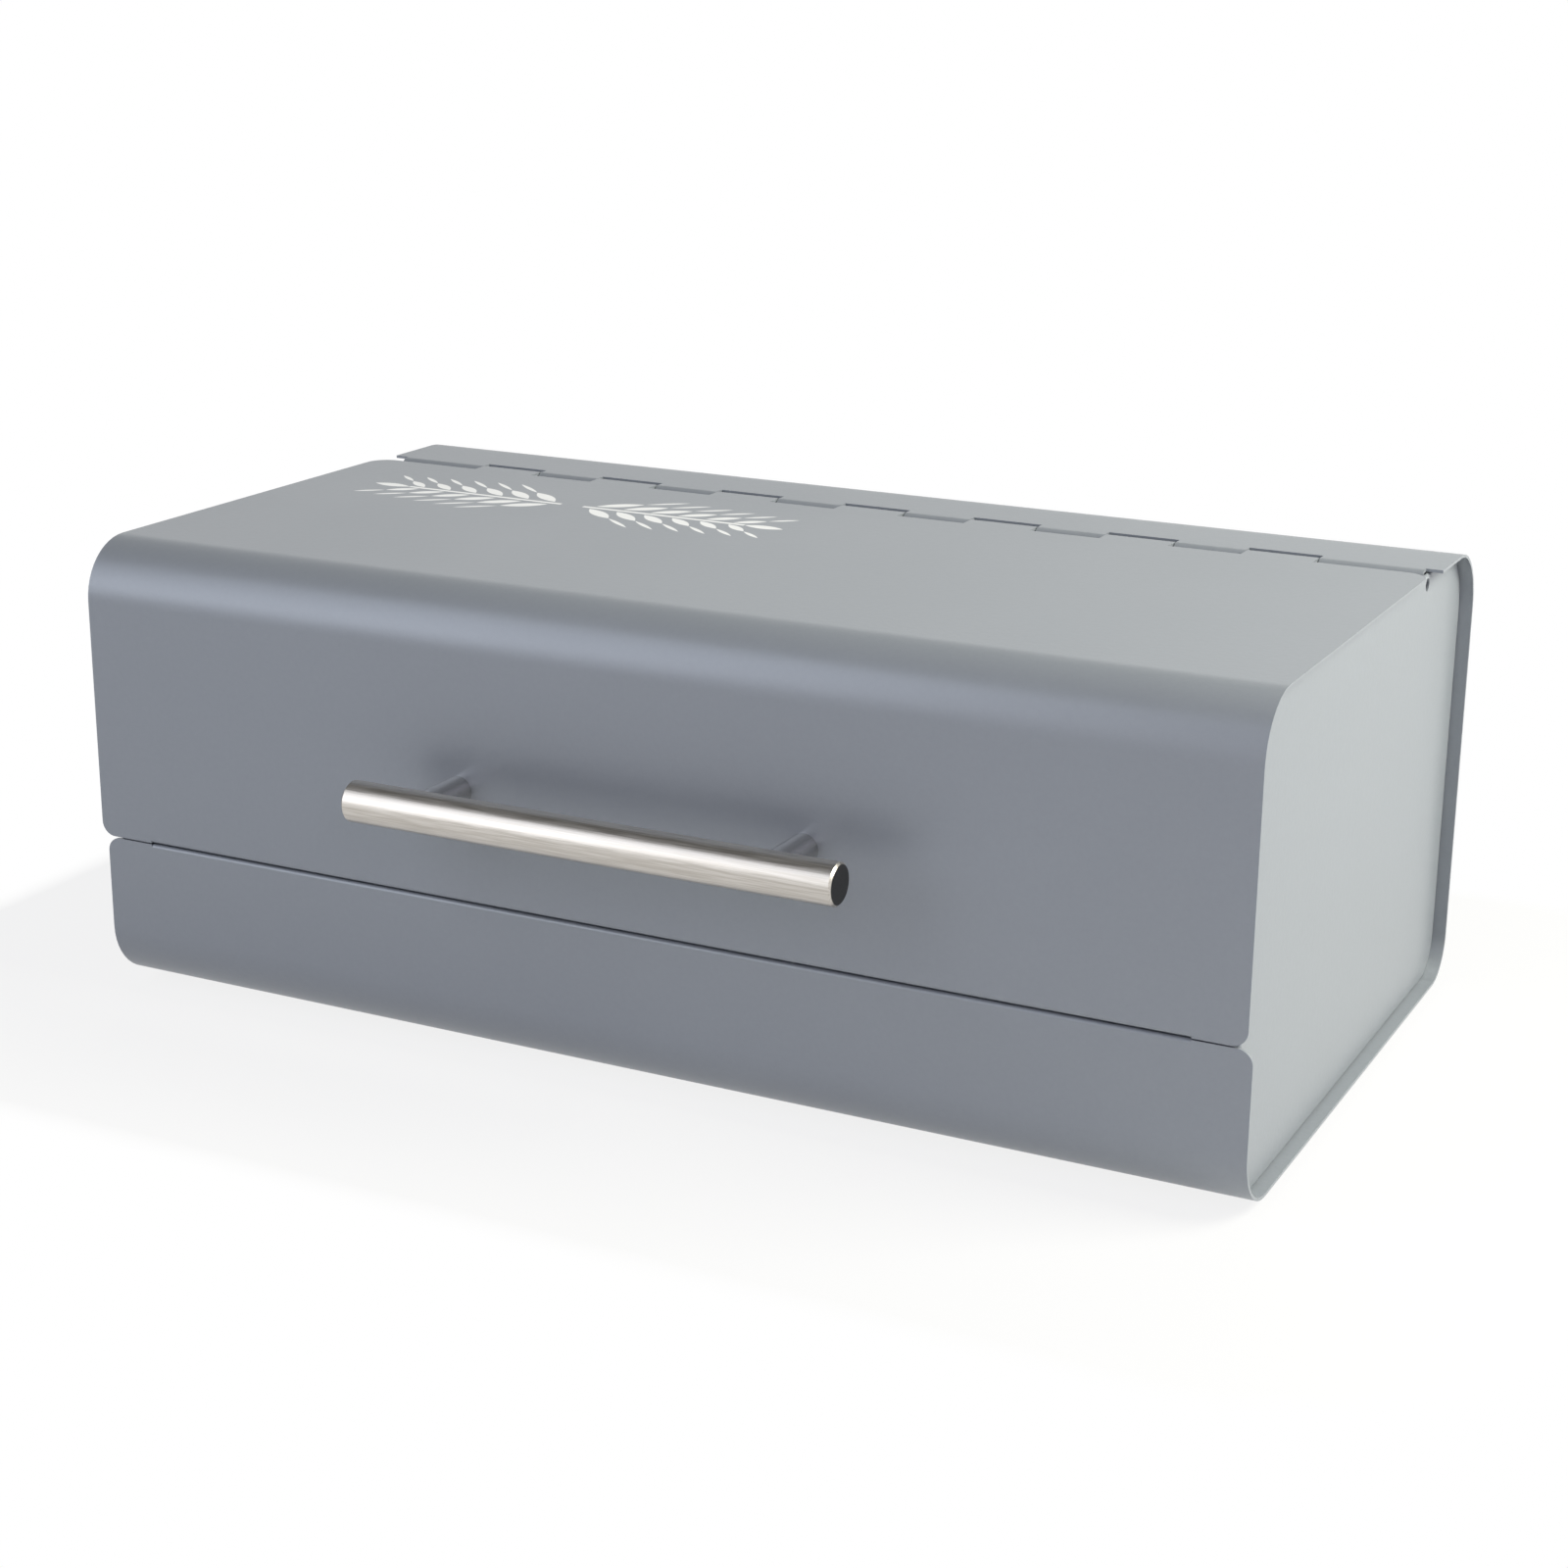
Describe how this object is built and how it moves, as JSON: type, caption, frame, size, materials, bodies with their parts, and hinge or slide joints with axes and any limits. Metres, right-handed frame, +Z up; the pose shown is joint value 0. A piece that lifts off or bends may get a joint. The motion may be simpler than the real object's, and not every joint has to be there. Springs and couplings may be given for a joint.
{
  "type": "bread box",
  "caption": "Low bread box of folded painted sheet steel with a hinged lid over the top and front, a bar handle on two posts and rubber feet.",
  "frame": {"origin": "Under the middle of the footprint, handle included, on the surface the box stands on.", "axes": "+X to the right along the hinge, +Y from the handle to the back, +Z up."},
  "size_m": [0.3317, 0.209, 0.1285],
  "materials": {
    "painted_body": "satin grey-blue powder coat",
    "painted_lid": "satin grey-blue powder coat",
    "brushed_bar": "satin brushed stainless steel",
    "chrome_post": "polished nickel plate",
    "hinge_rod": "drawn steel wire",
    "zinc_fasteners": "bright zinc plate",
    "rubber": "matt black rubber"
  },
  "bodies": {
    "base": {"body_shell": "painted_body", "end_panel_left": "painted_body", "end_panel_right": "painted_body", "foot_front_left": "rubber", "foot_front_right": "rubber", "foot_rear_left": "rubber", "foot_rear_right": "rubber", "hinge_rod": "hinge_rod", "lid_bumper_left": "rubber", "lid_bumper_right": "rubber"},
    "lid": {"lid": "painted_lid", "handle_bar": "brushed_bar", "handle_post_left": "chrome_post", "handle_post_right": "chrome_post", "handle_studs": "zinc_fasteners", "handle_washers": "zinc_fasteners", "handle_screws": "zinc_fasteners"}
  },
  "joints": [
    {"name": "lid_hinge", "type": "hinge", "parent": "base", "child": "lid", "pos_m": [0, 0.065, 0.1245], "axis": [-1, 0, 0], "range_deg": [0, 75]}
  ]
}
